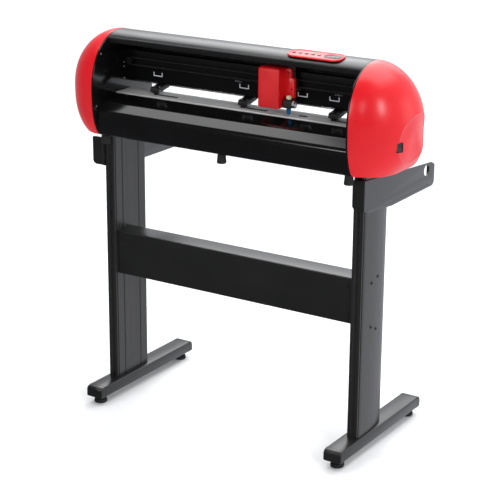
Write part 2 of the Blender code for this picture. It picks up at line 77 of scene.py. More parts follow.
def material(name, dark, light, rough, rough_var=0.04, metal=0.0, grain=900.0, bump=0.1, depth=0.00008,
             stretch=(1.0, 1.0, 1.0), patch=9.0, coat=0.0, coat_rough=0.08, spec=0.5, detail=3.0, streak=None, kind="noise"):
    """Two close colours mixed in large soft patches, a fine grain as bump, and a roughness that wanders."""
    made = bpy.data.materials.new(name)
    made.use_nodes = True
    nt = made.node_tree
    shader = nt.nodes["Principled BSDF"]
    shader.inputs["Metallic"].default_value = metal
    shader.inputs["Specular IOR Level"].default_value = spec
    shader.inputs["Coat Weight"].default_value = coat
    shader.inputs["Coat Roughness"].default_value = coat_rough
    coords = nt.nodes.new("ShaderNodeTexCoord")
    place = nt.nodes.new("ShaderNodeMapping")
    place.inputs["Scale"].default_value = stretch
    nt.links.new(coords.outputs["Object"], place.inputs["Vector"])

    soft = nt.nodes.new("ShaderNodeTexNoise")
    soft.inputs["Scale"].default_value = patch
    soft.inputs["Detail"].default_value = 1.0
    nt.links.new(coords.outputs["Object"], soft.inputs["Vector"])

    if kind == "cells":
        fine = nt.nodes.new("ShaderNodeTexVoronoi")
        fine.feature = "F1"
        fine_out = fine.outputs["Distance"]
    else:
        fine = nt.nodes.new("ShaderNodeTexNoise")
        fine.inputs["Detail"].default_value = detail
        fine_out = fine.outputs["Fac"]
    fine.inputs["Scale"].default_value = grain
    nt.links.new(place.outputs["Vector"], fine.inputs["Vector"])

    colour = nt.nodes.new("ShaderNodeMix")
    colour.data_type = "RGBA"
    colour.inputs["A"].default_value = (*dark, 1.0)
    colour.inputs["B"].default_value = (*light, 1.0)
    if streak:
        line = nt.nodes.new("ShaderNodeTexNoise")
        line.inputs["Scale"].default_value = 1.0
        line.inputs["Detail"].default_value = 5.0
        line_place = nt.nodes.new("ShaderNodeMapping")
        line_place.inputs["Scale"].default_value = streak
        nt.links.new(coords.outputs["Object"], line_place.inputs["Vector"])
        nt.links.new(line_place.outputs["Vector"], line.inputs["Vector"])
        nt.links.new(ramp(nt, line.outputs["Fac"], 0.0, 1.0, 0.3, 0.7), colour.inputs["Factor"])
        nt.links.new(ramp(nt, line.outputs["Fac"], rough - rough_var, rough + rough_var, 0.3, 0.7), shader.inputs["Roughness"])
    else:
        nt.links.new(ramp(nt, soft.outputs["Fac"], 0.0, 1.0, 0.15, 0.85), colour.inputs["Factor"])
        nt.links.new(ramp(nt, soft.outputs["Fac"], rough - rough_var, rough + rough_var, 0.15, 0.85), shader.inputs["Roughness"])
    nt.links.new(colour.outputs["Result"], shader.inputs["Base Color"])

    bumps = nt.nodes.new("ShaderNodeBump")
    bumps.inputs["Strength"].default_value = bump
    bumps.inputs["Distance"].default_value = depth
    nt.links.new(fine_out, bumps.inputs["Height"])
    nt.links.new(bumps.outputs["Normal"], shader.inputs["Normal"])
    return made


RED = material("red_moulding", (0.66, 0.005, 0.011), (0.74, 0.008, 0.015), 0.30, 0.03, grain=420.0, bump=0.035, depth=0.00005, patch=14.0, spec=0.42)
RED_CARRIAGE = material("red_carriage_moulding", (0.60, 0.003, 0.006), (0.70, 0.006, 0.010), 0.36, 0.04, grain=1500.0, bump=0.15, depth=0.00005, patch=30.0)
GLOSS = material("black_gloss_paint", (0.0022, 0.0022, 0.0024), (0.0040, 0.0040, 0.0043), 0.15, 0.03, grain=600.0, bump=0.08, depth=0.00004, patch=11.0, spec=0.38)
COVER = material("black_satin_paint", (0.0038, 0.0038, 0.0041), (0.0065, 0.0065, 0.007), 0.31, 0.04, grain=1300.0, bump=0.20, depth=0.00005, patch=9.0, spec=0.42)
BEAM = material("black_beam_paint", (0.0018, 0.0018, 0.002), (0.0034, 0.0034, 0.0036), 0.38, 0.05, grain=1500.0, bump=0.2, depth=0.00005, stretch=(0.2, 1.0, 1.0), spec=0.18)
STAND = material("stand_powder_coat", (0.0070, 0.0069, 0.0068), (0.0120, 0.0116, 0.0112), 0.31, 0.05, grain=1600.0, bump=0.14, depth=0.00007, patch=8.0, spec=0.52)
# The bracket plates get a lighter, bluer copy of the stand's powder coat. This is painted light and a painted bluish
# sheen on their lit side; the flanges of the same bent parts keep the darker stand coat.
BRACKET_PAINTED_LIGHT = material("bracket_coat_painted_light", (0.0150, 0.0155, 0.0180), (0.0225, 0.0232, 0.0265), 0.33, 0.05, grain=1600.0, bump=0.26, depth=0.00007, patch=8.0, spec=0.72)
LEG = material("leg_extrusion_finish", (0.0085, 0.0081, 0.0078), (0.0190, 0.0178, 0.0166), 0.29, 0.07, metal=0.10, grain=1.0, bump=0.18, depth=0.00006, stretch=(900.0, 900.0, 9.0), streak=(95.0, 95.0, 0.9), spec=0.55)
DARK = material("dark_moulding", (0.010, 0.010, 0.011), (0.017, 0.017, 0.018), 0.46, 0.06, grain=1800.0, bump=0.3, depth=0.00008, patch=40.0)
RUBBER = material("black_rubber", (0.010, 0.010, 0.010), (0.020, 0.020, 0.019), 0.78, 0.08, grain=2200.0, bump=0.4, depth=0.0001, patch=60.0, spec=0.3)
ALU = material("brushed_aluminium", (0.78, 0.77, 0.75), (0.90, 0.89, 0.87), 0.40, 0.06, metal=0.25, grain=1.0, bump=0.25, depth=0.00003, stretch=(12.0, 2600.0, 2600.0), streak=(4.0, 700.0, 700.0))
ALU_BLACK = material("black_anodised_metal", (0.010, 0.010, 0.011), (0.018, 0.018, 0.019), 0.40, 0.06, metal=0.5, grain=1.0, bump=0.2, depth=0.00003, stretch=(2400.0, 40.0, 2400.0), patch=40.0)
ALU_UP = material("milled_aluminium", (0.55, 0.555, 0.56), (0.68, 0.685, 0.69), 0.33, 0.07, metal=1.0, grain=1.0, bump=0.2, depth=0.00003, stretch=(2400.0, 40.0, 2400.0), patch=40.0)
STEEL = material("turned_steel", (0.42, 0.42, 0.43), (0.56, 0.56, 0.57), 0.26, 0.06, metal=1.0, grain=1.0, bump=0.2, depth=0.00003, stretch=(3000.0, 200.0, 200.0), patch=80.0)
ZINC = material("zinc_screw", (0.33, 0.33, 0.34), (0.50, 0.50, 0.51), 0.34, 0.08, metal=1.0, grain=2600.0, bump=0.2, depth=0.00004, patch=120.0)
BLACK_SCREW = material("blackened_screw", (0.018, 0.018, 0.019), (0.035, 0.035, 0.036), 0.34, 0.06, metal=0.7, grain=2600.0, bump=0.2, depth=0.00004, patch=120.0)
GRIT = material("grit_roller_surface", (0.05, 0.05, 0.052), (0.11, 0.11, 0.112), 0.62, 0.08, metal=0.6, grain=1700.0, bump=0.9, depth=0.0004, patch=60.0, kind="cells")
BRASS = material("brass_turned", (0.60, 0.50, 0.26), (0.74, 0.64, 0.36), 0.28, 0.06, metal=1.0, grain=1.0, bump=0.2, depth=0.00003, stretch=(260.0, 260.0, 2600.0), patch=90.0)
CREAM = material("cream_cap", (0.62, 0.55, 0.33), (0.72, 0.65, 0.42), 0.38, 0.05, grain=2400.0, bump=0.2, depth=0.00004, patch=90.0)
BLUE = material("blue_anodised_metal", (0.006, 0.15, 0.36), (0.010, 0.22, 0.48), 0.26, 0.05, metal=0.45, grain=1.0, bump=0.25, depth=0.00004, stretch=(300.0, 300.0, 2600.0), patch=60.0)
GREY = material("grey_button_plastic", (0.030, 0.030, 0.032), (0.050, 0.050, 0.053), 0.30, 0.05, grain=2200.0, bump=0.25, depth=0.00005, patch=90.0)
STRIP = material("cutting_strip_plastic", (0.66, 0.65, 0.62), (0.78, 0.77, 0.74), 0.52, 0.08, grain=1.0, bump=0.25, depth=0.00005, stretch=(60.0, 1900.0, 1900.0), streak=(2.0, 900.0, 900.0))
PRINT = material("white_screen_print", (0.70, 0.72, 0.74), (0.86, 0.88, 0.90), 0.55, 0.05, grain=2600.0, bump=0.15, depth=0.00003, patch=150.0)
PRINT_DIM = material("grey_screen_print", (0.20, 0.21, 0.22), (0.34, 0.35, 0.36), 0.55, 0.05, grain=2600.0, bump=0.15, depth=0.00003, patch=150.0)
WINDOW = material("display_window_glass", (0.0022, 0.0028, 0.0032), (0.0045, 0.0055, 0.0062), 0.20, 0.03, grain=900.0, bump=0.03, depth=0.00002, patch=60.0, spec=0.10)
BOARD = material("board_laminate_green", (0.006, 0.07, 0.025), (0.012, 0.12, 0.045), 0.42, 0.08, grain=420.0, bump=0.4, depth=0.0001, patch=120.0, kind="cells")
BELT = material("ribbed_belt_rubber", (0.010, 0.010, 0.010), (0.018, 0.018, 0.018), 0.66, 0.06, grain=1.0, bump=0.6, depth=0.0003, stretch=(1600.0, 100.0, 300.0), patch=60.0)


# -------------------------------------------------------------- mesh helpers
def smooth(mesh, angle=30.0):
    mesh.shade_smooth()
    mesh.set_sharp_from_angle(angle=math.radians(angle))


def piece(name, bm, mat, body, replaces=(), angle=30.0):
    bmesh.ops.recalc_face_normals(bm, faces=bm.faces)
    mesh = bpy.data.meshes.new(name)
    bm.to_mesh(mesh)
    bm.free()
    return mesh_piece(name, mesh, mat, body, replaces, angle)


def mesh_piece(name, mesh, mat, body, replaces=(), angle=30.0):
    mesh.materials.clear()
    mesh.materials.append(mat)
    if angle:
        smooth(mesh, angle)
    obj = bpy.data.objects.new(name, mesh)
    SCENE.collection.objects.link(obj)
    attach(obj, body)
    if replaces:
        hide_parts(*replaces)
    return obj


def fillet(points, radius, steps=5, closed=False):
    """The same line with its corners rounded. radius is one number, or one for each point."""
    out, n = [], len(points)
    for i, p in enumerate(points):
        r = radius[i] if isinstance(radius, (list, tuple)) else radius
        if (not closed and i in (0, n - 1)) or r <= 0:
            out.append(tuple(p))
            continue
        a, b, c = Vector(points[i - 1]), Vector(p), Vector(points[(i + 1) % n])
        u, v = (a - b).normalized(), (c - b).normalized()
        corner = u.angle(v)
        if corner > PI - 0.02 or corner < 0.02:
            out.append(tuple(p))
            continue
        t = min(r / math.tan(corner / 2), 0.46 * (a - b).length, 0.46 * (c - b).length)
        rr = t * math.tan(corner / 2)
        centre = b + (u + v).normalized() * (rr / math.sin(corner / 2))
        s, e = b + u * t - centre, b + v * t - centre
        sa, ea = math.atan2(s.y, s.x), math.atan2(e.y, e.x)
        turn = (ea - sa + PI) % (2 * PI) - PI
        for k in range(steps + 1):
            w = sa + turn * k / steps
            out.append((centre.x + rr * math.cos(w), centre.y + rr * math.sin(w)))
    return out


def offset(line, dist, inside):
    """The line moved by dist towards the point inside."""
    pts = [Vector(p) for p in line]
    made, score = [], 0.0
    for i, p in enumerate(pts):
        a = (p - pts[i - 1]).normalized() if i else (pts[1] - p).normalized()
        b = (pts[i + 1] - p).normalized() if i + 1 < len(pts) else a
        na, nb = Vector((-a.y, a.x)), Vector((-b.y, b.x))
        m = na + nb
        m = m / max(0.4, m.dot(na)) if m.length > 1e-6 else na
        made.append((p, m))
        score += m.dot(Vector(inside) - p)
    sign = 1.0 if score > 0 else -1.0
    return [tuple(p + m * dist * sign) for p, m in made]


def skin(bm, sections, close_ring=True, caps=True):
    """Quads between equal rings of vertices, with a face at each end."""
    rings = [[bm.verts.new(p) for p in ring] for ring in sections]
    n = len(rings[0])
    for a, b in zip(rings, rings[1:]):
        for i in range(n if close_ring else n - 1):
            j = (i + 1) % n
            bm.faces.new((a[i], a[j], b[j], b[i]))
    if caps:
        bm.faces.new(list(reversed(rings[0])))
        bm.faces.new(rings[-1])
    return rings


def along_x(bm, ring, x0, x1, edge=0.0):
    """A (y, z) outline stretched along X; edge draws the two ends in a little, as a rounded arris."""
    stations = [(x0, edge), (x0 + edge * 0.3, edge * 0.3), (x0 + edge, 0.0), (x1 - edge, 0.0), (x1 - edge * 0.3, edge * 0.3), (x1, edge)] if edge else [(x0, 0.0), (x1, 0.0)]
    cy = sum(p[0] for p in ring) / len(ring)
    cz = sum(p[1] for p in ring) / len(ring)
    sections = []
    for x, shrink in stations:
        row = []
        for y, z in ring:
            d = math.hypot(y - cy, z - cz) or 1.0
            k = 1.0 - shrink / d
            row.append(W(x, cy + (y - cy) * k, cz + (z - cz) * k))
        sections.append(row)
    skin(bm, sections)


def folded(name, line, x0, x1, thick, inside, mat, replaces=(), body="stand"):
    bm = bmesh.new()
    ring = list(line) + list(reversed(offset(line, thick, inside)))
    skin(bm, [[W(x, y, z) for y, z in ring] for x in (x0, x1)])
    return piece(name, bm, mat, body, replaces)


def block(bm, lo, hi, r=1.0, steps=3, matrix=None):
    """A block with rounded edges, from its lowest to its highest corner."""
    made = bmesh.ops.create_cube(bm, size=1.0)
    verts = made["verts"]
    low, high = W(*lo), W(*hi)
    bmesh.ops.scale(bm, verts=verts, vec=high - low)
    bmesh.ops.translate(bm, verts=verts, vec=(low + high) / 2)
    edges = list({e for v in verts for e in v.link_edges})
    if r > 0:
        made = bmesh.ops.bevel(bm, geom=edges, offset=r * MM, segments=steps, profile=0.5, affect="EDGES")
        verts = list({v for f in made["faces"] for v in f.verts})
    if matrix is not None:
        bmesh.ops.transform(bm, matrix=matrix, verts=verts)
    return verts


def lathe(bm, profile, at, axis="Z", steps=36):
    """(radius, height) pairs from one end to the other, turned about an axis through a point."""
    turn = {"Z": Matrix.Identity(3), "X": Matrix.Rotation(PI / 2, 3, "Y"), "Y": Matrix.Rotation(-PI / 2, 3, "X"), "-Y": Matrix.Rotation(PI / 2, 3, "X"), "-X": Matrix.Rotation(-PI / 2, 3, "Y")}.get(axis, axis)
    centre = W(*at)
    rings = []
    for r, h in profile:
        if r < 1e-6:
            rings.append([bm.verts.new(centre + turn @ Vector((0, 0, h * MM)))])
        else:
            rings.append([bm.verts.new(centre + turn @ Vector((r * MM * math.cos(2 * PI * i / steps), r * MM * math.sin(2 * PI * i / steps), h * MM))) for i in range(steps)])
    for a, b in zip(rings, rings[1:]):
        for i in range(steps):
            j = (i + 1) % steps
            if len(a) == 1 and len(b) == 1:
                continue
            if len(a) == 1:
                bm.faces.new((a[0], b[j], b[i]))
            elif len(b) == 1:
                bm.faces.new((a[i], a[j], b[0]))
            else:
                bm.faces.new((a[i], a[j], b[j], b[i]))


def screw(bm, at, axis, r=3.4, high=2.0, socket=1.5):
    """A button head with a socket, whose underside is at the point."""
    lathe(bm, [(0.0, high * 0.35), (socket, high * 0.35), (socket, high * 0.92), (r * 0.62, high), (r * 0.88, high * 0.72), (r, high * 0.25), (r, 0.0), (0.0, 0.0)], at, axis, 18)


def outline(name, rings, low, high, edge, mat, body, place, replaces=(), angle=30.0):
    """A flat outline with holes, given height and rounded arrises by a curve, then set in place by a matrix."""
    curve = bpy.data.curves.new(name, "CURVE")
    curve.dimensions = "2D"
    curve.fill_mode = "BOTH"
    curve.extrude = ((high - low) / 2 - edge) * MM
    curve.bevel_depth = edge * MM
    curve.bevel_resolution = 3
    curve.offset = -edge * MM
    for ring in rings:
        spline = curve.splines.new("POLY")
        spline.points.add(len(ring) - 1)
        for point, (a, b) in zip(spline.points, ring):
            point.co = (a * MM, b * MM, 0.0, 1.0)
        spline.use_cyclic_u = True
    temp = bpy.data.objects.new(name + "_curve", curve)
    SCENE.collection.objects.link(temp)
    bpy.context.view_layer.update()
    mesh = bpy.data.meshes.new_from_object(temp.evaluated_get(bpy.context.evaluated_depsgraph_get()))
    bpy.data.objects.remove(temp)
    mesh.transform(place @ Matrix.Translation((0.0, 0.0, (low + high) / 2 * MM)))
    bm = bmesh.new()
    bm.from_mesh(mesh)
    bmesh.ops.remove_doubles(bm, verts=bm.verts, dist=1e-6)
    bmesh.ops.recalc_face_normals(bm, faces=bm.faces)
    bm.to_mesh(mesh)
    bm.free()
    mesh.name = name
    return mesh_piece(name, mesh, mat, body, replaces, angle)


X_PLACE = Matrix(((0, 0, 1, 0), (1, 0, 0, -0.0675), (0, 1, 0, 0.020), (0, 0, 0, 1)))   # (a, b, h) becomes y, z, x


def circle(cy, cz, r, count=48):
    return [(cy + r * math.cos(2 * PI * i / count), cz + r * math.sin(2 * PI * i / count)) for i in range(count)]


def softened(node, width, mat, angle=30.0, segments=2):
    """The CAD node's own shape with its arrises rounded, shown in its place."""
    source = NODES[node]
    bm = bmesh.new()
    bm.from_mesh(source.data)
    bmesh.ops.remove_doubles(bm, verts=bm.verts, dist=2e-6)
    bmesh.ops.dissolve_limit(bm, angle_limit=math.radians(0.6), verts=bm.verts, edges=bm.edges)
    sharp = [e for e in bm.edges if len(e.link_faces) == 2 and e.calc_face_angle(0.0) > math.radians(32.0)]
    bmesh.ops.bevel(bm, geom=sharp, offset=width * MM, segments=segments, profile=0.5, affect="EDGES", clamp_overlap=True)
    return piece(node + "_detailed", bm, mat, frame_body(node), (node,), angle)


def frame_body(node):
    return NODES[node]["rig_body"]


def dress(node, mat):
    """A carried-over CAD node gets a finished material."""
    data = NODES[node].data
    if len(data.materials) == 0:
        data.materials.append(mat)
    for i in range(len(data.materials)):
        data.materials[i] = mat


def boolean(obj, cutter_bm, name):
    mesh = bpy.data.meshes.new(name)
    bmesh.ops.recalc_face_normals(cutter_bm, faces=cutter_bm.faces)
    cutter_bm.to_mesh(mesh)
    cutter_bm.free()
    cutter = bpy.data.objects.new(name, mesh)
    SCENE.collection.objects.link(cutter)
    mod = obj.modifiers.new("cut", "BOOLEAN")
    mod.operation, mod.solver, mod.object = "DIFFERENCE", "EXACT", cutter
    bpy.context.view_layer.update()
    made = bpy.data.meshes.new_from_object(obj.evaluated_get(bpy.context.evaluated_depsgraph_get()))
    obj.modifiers.clear()
    old, obj.data = obj.data, made
    bpy.data.meshes.remove(old)
    bpy.data.objects.remove(cutter)
    return obj


# ------------------------------------------------------------------- end caps
CAP_POWER = {"front_top": 2.2, "rear_top": 1.84, "front_low": 2.73, "rear_low": 6.4}


def cap_radius(angle):
    c, s = math.cos(angle), math.sin(angle)
    power = CAP_POWER[("rear_" if c >= 0 else "front_") + ("top" if s >= 0 else "low")]
    half_y = 126.5 if c >= 0 else 127.3
    half_z = 143.4 if s >= 0 else 149.3
    return ((abs(c) / half_y) ** power + (abs(s) / half_z) ** power) ** (-1.0 / power)


def cap_point(phi, angle, shrink=0.0):
    s, d = math.cos(phi) ** (2.0 / 1.93), math.sin(phi) ** (2.0 / 1.93)
    r = s * (cap_radius(angle) - shrink)
    y, z = -8.0 + r * math.cos(angle), 815.3 + r * math.sin(angle)
    x = 365.4 + (116.6 - shrink) * d
    z = max(z, 703.0 + shrink)
    # a finger scoop with a crisp upper and front edge, low on the outer side
    q = (abs(y + 2.0) / 68.0) ** 2.2 + (abs(z - 786.0) / 60.0) ** 2.2
    if q < 1.0 and phi > 0.35:
        fade = min(1.0, max(0.0, (z - 712.0) / 60.0))
        x -= 11.0 * (1.0 - q) ** 0.72 * (0.25 + 0.75 * fade)
    return x, y, z


def cap(name, sign, node):
    bm = bmesh.new()
    around, rows = 260, 110
    layers = []
    for shrink in (0.0, 2.6):
        rings = []
        for k in range(rows):
            phi = PI / 2 * k / rows
            rings.append([bm.verts.new(W(sign * cap_point(phi, 2 * PI * i / around, shrink)[0], *cap_point(phi, 2 * PI * i / around, shrink)[1:])) for i in range(around)])
        x, y, z = cap_point(PI / 2, 0.0, shrink)
        tip = bm.verts.new(W(sign * x, -8.0, 815.3))
        for a, b in zip(rings, rings[1:]):
            for i in range(around):
                j = (i + 1) % around
                bm.faces.new((a[i], a[j], b[j], b[i]))
        for i in range(around):
            bm.faces.new((rings[-1][i], rings[-1][(i + 1) % around], tip))
        layers.append(rings[0])
    for i in range(around):
        j = (i + 1) % around
        bm.faces.new((layers[0][i], layers[0][j], layers[1][j], layers[1][i]))
    return piece(name, bm, RED, "stand", (node,), angle=38.0)


cap("end_cap_left_shell", -1.0, "end_cap_left")
right_cap = cap("end_cap_right_shell", 1.0, "end_cap_right")
SWITCH_AT, SWITCH_TURN = W(463.5, -66.0, 776.0), math.radians(-26.0)
turned = Matrix.Translation(SWITCH_AT) @ Matrix.Rotation(SWITCH_TURN, 4, "Z") @ Matrix.Translation(-SWITCH_AT)
cut = bmesh.new()
block(cut, (440.0, -74.8, 764.7), (495.0, -57.2, 787.3), 1.2, 3, turned)
boolean(right_cap, cut, "switch_pocket_cutter")
smooth(right_cap.data, 38.0)

bm = bmesh.new()
outer = fillet([(-8.8, -11.3), (8.8, -11.3), (8.8, 11.3), (-8.8, 11.3)], 1.2, 4, True)
inner = fillet([(-8.0, -10.5), (8.0, -10.5), (8.0, 10.5), (-8.0, 10.5)], 0.8, 4, True)
sections = [[turned @ W(463.5 + dx, -66.0 + a, 776.0 + b) for a, b in ring] for ring, dx in ((outer, -12.0), (outer, 1.6), (inner, 1.2), (inner, -12.0))]
skin(bm, sections, caps=False)
bm.faces.new([bm.verts.new(turned @ W(463.5 - 12.0, -66.0 + a, 776.0 + b)) for a, b in outer])
piece("switch_recess_lining", bm, DARK, "stand")

bm = bmesh.new()
rocker = [(-2.6, -9.5), (0.2, -9.9), (1.0, -9.3), (-1.4, 0.0), (1.0, 9.3), (0.2, 9.9), (-2.6, 9.5)]
rocker = fillet(rocker, [0.4, 0.5, 0.6, 12.0, 0.6, 0.5, 0.4], 6, True)
skin(bm, [[turned @ W(463.5 + a, -66.0 + y, 776.0 + b) for a, b in rocker] for y in (-7.4, -7.0, 7.0, 7.4)])
piece("power_switch_rocker", bm, DARK, "switch", ("power_switch",))

# ---------------------------------------------------------------- side plates
def rim(count, inset):
    ring = []
    for i in range(count):
        angle = 2 * PI * i / count
        r = cap_radius(angle) - inset
        ring.append((-8.0 + r * math.cos(angle), max(815.3 + r * math.sin(angle), 703.0 + inset)))
    return ring


for tag, lo, hi in (("left", -364.7, -360.5), ("right", 360.5, 364.7)):
    bm = bmesh.new()
    along_x(bm, rim(200, 0.5), lo, hi, 0.5)
    piece("side_plate_%s_detailed" % tag, bm, GLOSS, "stand", ("side_plate_" + tag,))
bm = bmesh.new()
for y, z in ((-99.0, 907.0), (-122.0, 778.0)):
    screw(bm, (-360.5, y, z), "X", 2.6, 1.5, 1.2)
    screw(bm, (360.5, y, z), "-X", 2.6, 1.5, 1.2)
piece("side_plate_screws", bm, ZINC, "stand")

# -------------------------------------------------------------------- covers
top = fillet([(-58.0, 930.5), (-65.0, 930.5), (-66.8, 933.0), (-67.0, 943.5), (-64.3, 946.9)], [0, 1.5, 1.5, 3.0, 0], 5)
for i in range(121):
    a = math.radians(113.0 - i)
    r = cap_radius(a) - 0.4
    y, z = -8.0 + r * math.cos(a), 815.3 + r * math.sin(a)
    if y > -59.0 and z > 838.0:
        top.append((y, z))
top.append((117.1, 838.0))
folded("top_cover_detailed", top, -360.1, 360.1, 2.0, (-8.0, 815.3), COVER, ("top_cover",))

front = fillet(
    [(-41.0, 799.0), (-89.0, 789.8), (-96.5, 786.2), (-115.0, 768.5), (-119.2, 762.0), (-121.0, 748.0), (-118.5, 726.0), (-114.0, 706.5), (-110.5, 703.2), (-106.0, 703.2)],
    [0, 9.0, 7.0, 8.0, 9.0, 30.0, 60.0, 4.0, 3.0, 0], 7,
)
folded("front_panel_detailed", front, -360.1, 360.1, 2.0, (-60.0, 750.0), GLOSS, ("front_panel",))
rear = fillet(
    [(29.0, 798.5), (60.0, 786.0), (100.0, 762.0), (110.0, 752.0), (115.0, 738.0), (115.0, 708.0), (111.0, 703.2), (95.0, 703.2)],
    [0, 14.0, 14.0, 10.0, 12.0, 4.0, 3.0, 0], 7,
)
rear_piece = folded("rear_panel_detailed", rear, -360.1, 360.1, 2.0, (60.0, 750.0), GLOSS, ("rear_panel",))
cut = bmesh.new()
block(cut, (276.0, 98.0, 712.0), (324.0, 125.0, 736.0), 0.0)
boolean(rear_piece, cut, "inlet_cutter")
tray = fillet([(-104.0, 735.0), (-104.0, 703.2), (94.0, 703.2), (94.0, 735.0)], [0, 3.0, 3.0, 0], 5)
folded("base_tray_detailed", tray, -360.1, 360.1, 2.0, (0.0, 760.0), COVER, ("base_tray",))
bm = bmesh.new()
for x in (-330.0, -110.0, 110.0, 330.0):
    screw(bm, (x, 115.2, 723.0), "Y", 3.2, 1.8, 1.3)
piece("rear_panel_screws", bm, BLACK_SCREW, "stand")

# The guide beam, with a rounded rib and small printed marks over the rollers.
beam = fillet([(2.0, 828.0), (2.0, 863.2), (-0.2, 864.8), (-0.2, 867.2), (2.0, 868.8), (2.0, 905.0), (52.0, 905.0), (52.0, 828.0)], [2.0, 0.8, 0.8, 0.8, 0.8, 2.0, 2.0, 2.0], 4, True)
bm = bmesh.new()
along_x(bm, beam, -360.1, 360.1)
beam_piece = piece("guide_beam_detailed", bm, BEAM, "stand", ("guide_beam",))
cut = bmesh.new()
for x in (-340.0, 340.0):
    lathe(cut, [(0.0, -5.0), (2.8, -5.0), (2.8, 10.0), (0.0, 10.0)], (x, 2.0, 878.0), "Y", 24)
boolean(beam_piece, cut, "beam_bores")
smooth(beam_piece.data)
bm = bmesh.new()
for x in (-258.0, 0.0, 166.0, 253.0):
    block(bm, (x - 13.6, 1.75, 845.0), (x + 13.6, 2.1, 847.2), 0.0)
    for dx in (-13.6, 11.4):
        block(bm, (x + dx, 1.75, 847.0), (x + dx + 2.2, 2.1, 855.4), 0.0)
piece("beam_marks", bm, PRINT, "stand")
bm = bmesh.new()
for x0 in (-27.0, 140.0, 254.0):
    for k, w in enumerate((3.4, 3.4, 3.4, 1.2, 1.2)):
        x = x0 + (k * 4.9 if k < 3 else 15.6 + (k - 3) * 3.6)
        block(bm, (x, 1.85, 859.6), (x + w, 2.1, 860.5), 0.0)
        block(bm, (x, 1.85, 861.7), (x + w, 2.1, 862.6), 0.0)
piece("beam_scale_ticks", bm, PRINT_DIM, "stand")
bm = bmesh.new()
for y, z in ((-3.6, 872.0), (-3.6, 860.5), (-2.6, 830.5)):
    screw(bm, (-360.5, y, z), "X", 2.2, 1.5, 1.0)
    screw(bm, (360.5, y, z), "-X", 2.2, 1.5, 1.0)
piece("beam_end_screws", bm, ZINC, "stand")
rail = bmesh.new()
section = fillet([(20.0, 905.3), (32.0, 905.3), (32.0, 907.3), (30.6, 908.6), (32.0, 909.9), (32.0, 911.3), (20.0, 911.3), (20.0, 909.9), (21.4, 908.6), (20.0, 907.3)], 0.5, 3, True)
along_x(rail, section, -352.0, 352.0)
piece("carriage_rail_detailed", rail, BLACK_SCREW, "stand", ("carriage_rail",))

# --------------------------------------------------------------------- platen
softened("platen", 0.5, ALU)
softened("cutting_strip", 0.3, STRIP)
bm = bmesh.new()
lathe(bm, [(0.0, -360.0), (2.4, -360.0), (3.0, -359.4), (3.0, 359.4), (2.4, 360.0), (0.0, 360.0)], (0.0, 34.0, 819.5), "X", 32)
piece("pinch_shaft_detailed", bm, STEEL, "stand", ("pinch_shaft",))

GRIT_X = ((-262.0, -190.0), (-4.0, 74.0), (163.0, 185.0), (252.0, 322.0))
bm = bmesh.new()
lathe(bm, [(0.0, -381.0), (3.5, -381.0), (4.0, -380.4), (4.0, 355.4), (3.5, 356.0), (0.0, 356.0)], (0.0, -8.0, 791.8), "X", 32)
piece("drive_shaft_detailed", bm, STEEL, "drive", ("drive_shaft",))
bm = bmesh.new()
for a, b in GRIT_X:
    lathe(bm, [(3.8, a), (9.2, a), (10.0, a + 0.8), (10.0, b - 0.8), (9.2, b), (3.8, b)], (0.0, -8.0, 791.8), "X", 48)
piece("grit_rollers", bm, GRIT, "drive")

# --------------------------------------------------------------- pinch rollers
for number, x in enumerate((-258.0, 5.0, 259.0), 1):
    y, z = -8.0, 808.9
    side = fillet([(y - 4.5, z - 2.5), (y - 4.5, z + 2.5), (y - 1.0, z + 5.0), (18.0, 817.0), (28.0, 824.5), (38.0, 824.5), (40.0, 819.0), (37.0, 813.0), (22.0, 810.5), (y + 4.0, z - 4.5), (y - 1.0, z - 5.0)],
                  [2.4, 2.4, 2.4, 6.0, 5.0, 5.0, 3.0, 3.0, 6.0, 3.0, 2.4], 4, True)
    bm = bmesh.new()
    for lo, hi in ((-10.4, -7.0), (7.0, 10.4)):
        along_x(bm, side, x + lo, x + hi, 0.35)
    back = fillet([(3.0, 812.6), (18.0, 816.6), (28.0, 824.0), (37.0, 824.0), (39.0, 819.0), (36.4, 814.0), (37.0, 813.4), (22.0, 811.2), (4.0, 806.2)], 1.5, 3, True)
    along_x(bm, back, x - 7.1, x + 7.1)
    piece("pinch_arm_%d_detailed" % number, bm, DARK, "pinch_arm_%d" % number, ("pinch_arm_%d" % number,))
    hood = fillet([(-13.6, 806.5), (-13.6, 814.8), (-10.0, 818.6), (3.0, 819.8), (15.0, 822.2), (21.0, 825.6)], [0, 3.5, 3.5, 6.0, 6.0, 0], 5)
    folded("pinch_hood_%d" % number, hood, x - 13.2, x + 13.2, 1.8, (10.0, 806.0), DARK, (), "pinch_arm_%d" % number)
    bm = bmesh.new()
    for turn, dx in (("X", 10.4), ("-X", -10.4)):
        screw(bm, (x + dx, y, z), turn, 4.6, 2.6, 1.5)
    for dx in (-8.0, 8.0):
        screw(bm, (x + dx, -3.0, 819.0), "Z", 2.3, 1.5, 1.0)
    piece("pinch_hood_screws_%d" % number, bm, ZINC, "pinch_arm_%d" % number)
    bm = bmesh.new()
    groove = [(0.0, -6.4), (5.6, -6.4), (6.6, -5.6)]
    for k in range(5):
        c = -4.4 + 2.2 * k
        groove += [(6.8, c - 0.7), (6.8, c + 0.7), (6.45, c + 0.95), (6.45, c + 1.25)] if k < 4 else [(6.8, c - 0.7), (6.8, c + 0.7)]
    groove += [(6.6, 5.6), (5.6, 6.4), (0.0, 6.4)]
    lathe(bm, groove, (x, y, z), "X", 40)
    piece("pinch_roller_%d_tyre" % number, bm, RUBBER, "pinch_roller_%d" % number, ("pinch_roller_%d" % number,))
    bm = bmesh.new()
    lathe(bm, [(0.0, -10.9), (1.6, -10.9), (2.0, -10.5), (2.0, 10.5), (1.6, 10.9), (0.0, 10.9)], (x, y, z), "X", 24)
    piece("pinch_axle_%d" % number, bm, STEEL, "pinch_roller_%d" % number)

